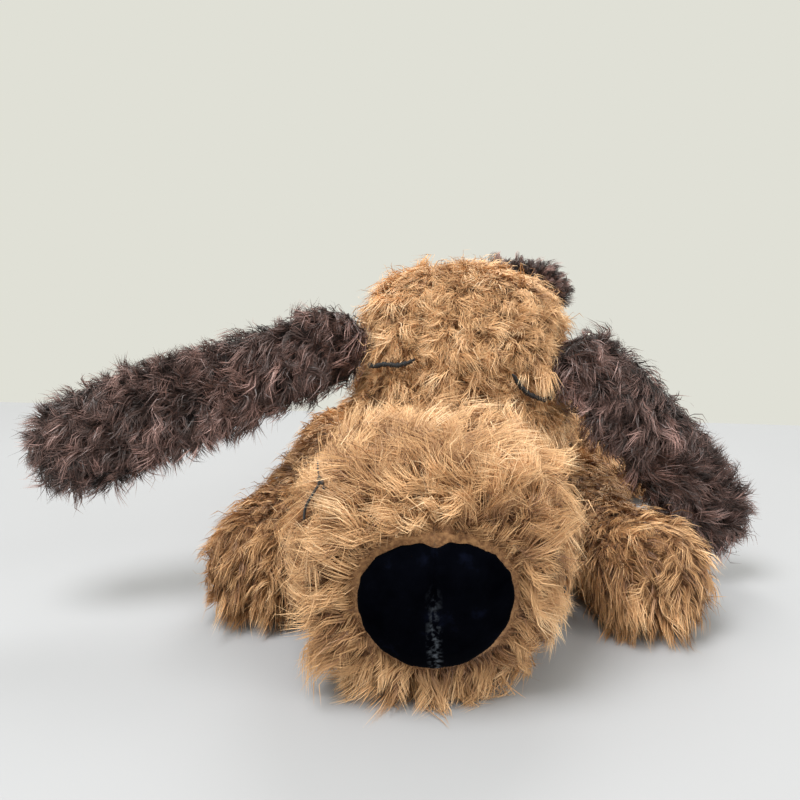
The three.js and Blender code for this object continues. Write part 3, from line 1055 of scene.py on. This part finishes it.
def along_line(points, spacing):
    """Points at even spacing along a line through the given ones, smoothed by a Catmull-Rom curve."""
    p = np.array(points, float)
    p = np.vstack([2 * p[0] - p[1], p, 2 * p[-1] - p[-2]])
    out = []
    for a, b, c, d in zip(p, p[1:], p[2:], p[3:]):
        for t in np.linspace(0, 1, 12, endpoint=False):
            bend = 2 * a - 5 * b + 4 * c - d
            twist = 3 * b - a - 3 * c + d
            out.append(0.5 * (2 * b + (c - a) * t + bend * t**2 + twist * t**3))
    out = np.array(out + [p[-2]])
    run = np.concatenate([[0], np.cumsum(np.linalg.norm(np.diff(out, axis=0), axis=1))])
    want = np.linspace(0, run[-1], max(2, int(round(run[-1] / spacing)) + 1))
    return np.stack([np.interp(want, run, out[:, k]) for k in range(out.shape[1])], 1)


def stitch(bm, middle, across, along, out, half):
    """One stitch, a rounded spindle with its half sizes across, along and out."""
    turn = Matrix((across, along, out)).transposed().to_4x4()
    bmesh.ops.create_uvsphere(
        bm,
        u_segments=8,
        v_segments=6,
        radius=1,
        matrix=Matrix.Translation(middle) @ turn @ Matrix.Diagonal((*half, 1)),
    )


class SewEyes(bpy.types.Operator):
    """Embroiders the two closed eyes as rows of satin stitches over the pile"""

    bl_idname = "plush.sew_eyes"
    bl_label = "Closed eyes"

    def execute(self, context):
        tree = surface(bag("head"))
        for name, line in EYES.items():
            bm = bmesh.new()
            spots = along_line(line, 0.75)
            hits = [tree.ray_cast(Vector((x * MM, -0.4, z * MM)), Vector((0, 1, 0))) for x, z in spots]
            for k, (hit, out, _, _) in enumerate(hits):
                if hit is None:
                    raise RuntimeError(f"{name}: the eye line misses the head")
                follow = hits[min(k + 1, len(hits) - 1)][0] - hits[max(k - 1, 0)][0]
                follow.normalize()
                across = out.cross(follow).normalized()
                across = (across + follow * 0.35 * math.sin(k * 2.3)).normalized()
                ends = min(1, 0.55 + 0.15 * min(k, len(hits) - 1 - k))
                size = sizes().stitch / 2 * (0.85 + 0.15 * math.sin(k * 1.7)) * ends
                half = (size * 1.15, 0.85 * MM, 1.2 * MM)
                stitch(bm, hit + out * EYE_LIFT, across, out.cross(across), out, half)
            made = from_bmesh(name + "_thread", bm)
            made.data.materials.append(finish("Embroidery thread"))
            settle_in(made, "head", "black_thread", name)
        return {"FINISHED"}


def thread_mesh(points, radius):
    """A round thread through the points, as a closed mesh."""
    curve = bpy.data.curves.new("thread", "CURVE")
    curve.dimensions = "3D"
    curve.bevel_depth = radius
    curve.bevel_resolution = 2
    curve.use_fill_caps = True
    line = curve.splines.new("POLY")
    spots = along_line([np.array(p) for p in points], 0.6 * MM)
    line.points.add(len(spots) - 1)
    for p, spot in zip(line.points, spots, strict=True):
        p.co = (*spot, 1)
    obj = bpy.data.objects.new("thread", curve)
    bpy.context.scene.collection.objects.link(obj)
    graph = bpy.context.evaluated_depsgraph_get()
    mesh = bpy.data.meshes.new_from_object(obj.evaluated_get(graph), depsgraph=graph)
    bpy.data.objects.remove(obj)
    bpy.data.curves.remove(curve)
    return mesh


class TieMuzzle(bpy.types.Operator):
    """Ties the knot with its two tails on the muzzle's right side, and the two short stitches on its left"""

    bl_idname = "plush.tie_muzzle"
    bl_label = "Muzzle stitches"

    def execute(self, context):
        tree = surface(bag("head"))

        def on_muzzle(x, z, lift):
            hit, out, _, _ = tree.ray_cast(Vector((x * MM, -0.4, z * MM)), Vector((0, 1, 0)))
            if hit is None:
                raise RuntimeError("a muzzle stitch misses the muzzle")
            return hit + out * lift * MM, out

        bm = bmesh.new()
        for dx, dz, wide, turn in (
            (0, 0, 1.5, 0.4),
            (1.2, 0.5, 1.3, -0.5),
            (-0.8, 0.7, 1.2, 1.2),
            (2.2, -0.2, 1.0, 0.1),
        ):
            spot, out = on_muzzle(-37.5 + dx, 79 + dz, 9.5)
            level = out.cross(Vector((0, 0, 1))).normalized()
            across = (level * math.cos(turn) + out.cross(level) * math.sin(turn)).normalized()
            stitch(bm, spot, across, out.cross(across), out, (wide * MM, 0.7 * MM, 0.8 * MM))
        for line, radius in (
            ([(-37.5, 79, 9.5), (-38.6, 76, 10.3), (-40, 73, 10.3), (-40.6, 70, 9.5)], 0.5),
            ([(-38, 79.5, 9.5), (-39.5, 81, 10.0), (-41, 82, 9.8)], 0.35),
        ):
            mesh = thread_mesh([on_muzzle(*spot)[0] for spot in line], radius * MM)
            bm.from_mesh(mesh)
            bpy.data.meshes.remove(mesh)
        made = from_bmesh("right_muzzle_knot", bm)
        made.data.materials.append(finish("Embroidery thread"))
        settle_in(made, "head", "black_thread", "right_muzzle_stitch")

        low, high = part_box("left_muzzle_stitch")
        middle = (low + high) / 2
        spot, out, _, _ = tree.find_nearest(middle)
        bm = bmesh.new()
        for rise in (-2.6, 2.4):
            stitch(
                bm,
                spot + out * 6.0 * MM + Vector((0, 0, rise * MM)),
                Vector((0, 0, 1)),
                out.cross(Vector((0, 0, 1))),
                out,
                (1.7 * MM, 0.55 * MM, 0.6 * MM),
            )
        made = from_bmesh("left_muzzle_dashes", bm)
        made.data.materials.append(finish("Embroidery thread"))
        settle_in(made, "head", "black_thread", "left_muzzle_stitch")
        return {"FINISHED"}


class CloseBack(bpy.types.Operator):
    """Ladder-stitches the opening in the back seam that the stuffing went in by"""

    bl_idname = "plush.close_back"
    bl_label = "Closing stitch"

    def execute(self, context):
        low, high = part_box("closing_stitch")
        tree = surface(bag("torso"))
        bm = bmesh.new()
        count = int((high.y - low.y) / (4.2 * MM))
        for k in range(count + 1):
            y = low.y + (high.y - low.y) * k / count
            hit, out, _, _ = tree.ray_cast(Vector((0, y, 0.3)), Vector((0, 0, -1)))
            across = Vector((1, 0.35 if k % 2 else -0.35, 0)).normalized()
            stitch(
                bm,
                hit + out * 1.4 * MM,
                across,
                out.cross(across).normalized(),
                out,
                (2.6 * MM, 0.4 * MM, 0.4 * MM),
            )
        made = from_bmesh("closing_thread", bm)
        made.data.materials.append(finish("Embroidery thread"))
        settle_in(made, "torso", "black_thread", "closing_stitch")
        return {"FINISHED"}


class SewLabel(bpy.types.Operator):
    """Sews a plain folded tape label, with nothing on it, into the rump seam"""

    bl_idname = "plush.sew_label"
    bl_label = "Blank label"

    def execute(self, context):
        low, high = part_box("label_tape")
        bm = bmesh.new()
        bmesh.ops.create_grid(bm, x_segments=14, y_segments=20, size=0.5)
        wide, long = high.x - low.x, high.y - low.y + 5 * MM
        for v in bm.verts:
            u, w = v.co.x + 0.5, v.co.y + 0.5
            v.co = Vector(
                (
                    low.x + wide * u,
                    low.y + long * w,
                    (low.z + high.z) / 2 + MM * (1.2 * math.sin(w * 3.1) + 0.5 * math.sin(u * 5) * w),
                )
            )
        made = from_bmesh("blank_label", bm)
        wall = made.modifiers.new("Tape", "SOLIDIFY")
        wall.thickness = 0.5 * MM
        applied(made)
        made.data.materials.append(finish("Satin tape"))
        settle_in(made, "torso", "label_tape", "label_tape")
        return {"FINISHED"}


class Stuff(bpy.types.Operator):
    """Packs the lumpy fibrefill inside every cover"""

    bl_idname = "plush.stuff"
    bl_label = "Fibrefill"

    def execute(self, context):
        for body, names in BODIES.items():
            for name in names:
                if SLOTS[name] != "fibrefill":
                    continue
                label = name.replace("stuffing", "fill").replace("wadding", "batting")
                obj = from_bmesh(label, solid_of([name]))
                remeshed(obj, "Even fill", 5 * MM if "body" in name else 3.5 * MM)
                at = places(obj.data)
                lumps = swirl(at, 90, 3) + 0.5 * swirl(at, 210, 5)
                sunk = 1.1 * MM * (1 + np.clip(lumps, -1, 1))
                move_to(obj.data, at - normals(obj.data) * sunk[:, None])
                obj.data.materials.append(finish("Fibrefill"))
                settle_in(obj, body, "fibrefill", name, padded=0.5)
        return {"FINISHED"}


# ---- stage ----


class SetStage(bpy.types.Operator):
    """Lays the floor and the white paper under the dog, hangs the soft lamps and sets up the camera"""

    bl_idname = "plush.set_stage"
    bl_label = "Stage"

    def execute(self, context):
        scene = context.scene
        for name, width, near, far, height, material in (
            ("floor", 12.0, -6.0, 6.0, -2.0, floor_material),
            ("paper", 3.2, -1.6, 0.235, -0.05, paper_material),
        ):
            bm = bmesh.new()
            bmesh.ops.create_grid(bm, x_segments=8, y_segments=8, size=0.5)
            bmesh.ops.scale(bm, vec=(width, far - near, 1), verts=bm.verts)
            bmesh.ops.translate(bm, vec=(0, (far + near) / 2, height * MM), verts=bm.verts)
            made = from_bmesh(name, bm)
            made.data.materials.append(material())
        world = bpy.data.worlds.new("Pale room")
        world.use_nodes = True
        background = world.node_tree.nodes["Background"]
        background.inputs["Color"].default_value = (*linear(ROOM_COLOUR), 1)
        background.inputs["Strength"].default_value = ROOM_LIGHT
        scene.world = world
        for name, place, aim, size, power in (
            ("key", (-0.32, -0.6, 1.28), (0, -0.15, 0.05), 0.7, 16.0),
            ("fill", (0.9, -0.9, 0.8), (0, -0.15, 0.05), 0.9, 5.0),
            ("back", (0.1, 0.75, 1.2), (0, 0, 0.05), 0.8, 8.0),
        ):
            data = bpy.data.lights.new(name, "AREA")
            data.shape = "DISK"
            data.size = size
            data.energy = power
            lamp = bpy.data.objects.new(name, data)
            lamp.location = place
            lamp.rotation_euler = (Vector(aim) - Vector(place)).to_track_quat("-Z", "Y").to_euler()
            scene.collection.objects.link(lamp)
        view = bpy.data.cameras.new("camera")
        view.angle = math.radians(50)
        view.clip_start, view.clip_end = 0.01, 50
        camera = bpy.data.objects.new("camera", view)
        camera.location = (0.0245, -0.5432, 0.180)
        camera.rotation_euler = (math.radians(78), 0, math.radians(7.5))
        scene.collection.objects.link(camera)
        scene.camera = camera
        scene.view_settings.view_transform = "Standard"
        return {"FINISHED"}


STEPS = (
    SetStage,
    SewBody,
    SewNeck,
    SewHead,
    SewNose,
    SewEyes,
    TieMuzzle,
    SewEars,
    SewLegs,
    SewTail,
    CloseBack,
    SewLabel,
    Stuff,
)


class PlushPanel(bpy.types.Panel):
    """Sizes, colours and one button for each piece"""

    bl_idname = "VIEW3D_PT_plush_dog"
    bl_label = "Lying Plush Dog"
    bl_space_type = "VIEW_3D"
    bl_region_type = "UI"
    bl_category = "Plush"

    def draw(self, context):
        for group in (context.scene.plush_sizes, context.scene.plush_colours):
            for name in group.__annotations__:
                self.layout.prop(group, name)
        for step in STEPS:
            self.layout.operator(step.bl_idname)


CLASSES = (PlushSizes, PlushColours, *STEPS, PlushPanel)


def register():
    for kind in CLASSES:
        bpy.utils.register_class(kind)
    bpy.types.Scene.plush_sizes = PointerProperty(type=PlushSizes)
    bpy.types.Scene.plush_colours = PointerProperty(type=PlushColours)


def unregister():
    del bpy.types.Scene.plush_colours
    del bpy.types.Scene.plush_sizes
    for kind in reversed(CLASSES):
        bpy.utils.unregister_class(kind)


def main():
    register()
    for step in STEPS:
        group, name = step.bl_idname.split(".")
        getattr(getattr(bpy.ops, group), name)()
    for obj in BAGS.values():
        discard(obj)
    BAGS.clear()


if __name__ == "__main__":
    main()
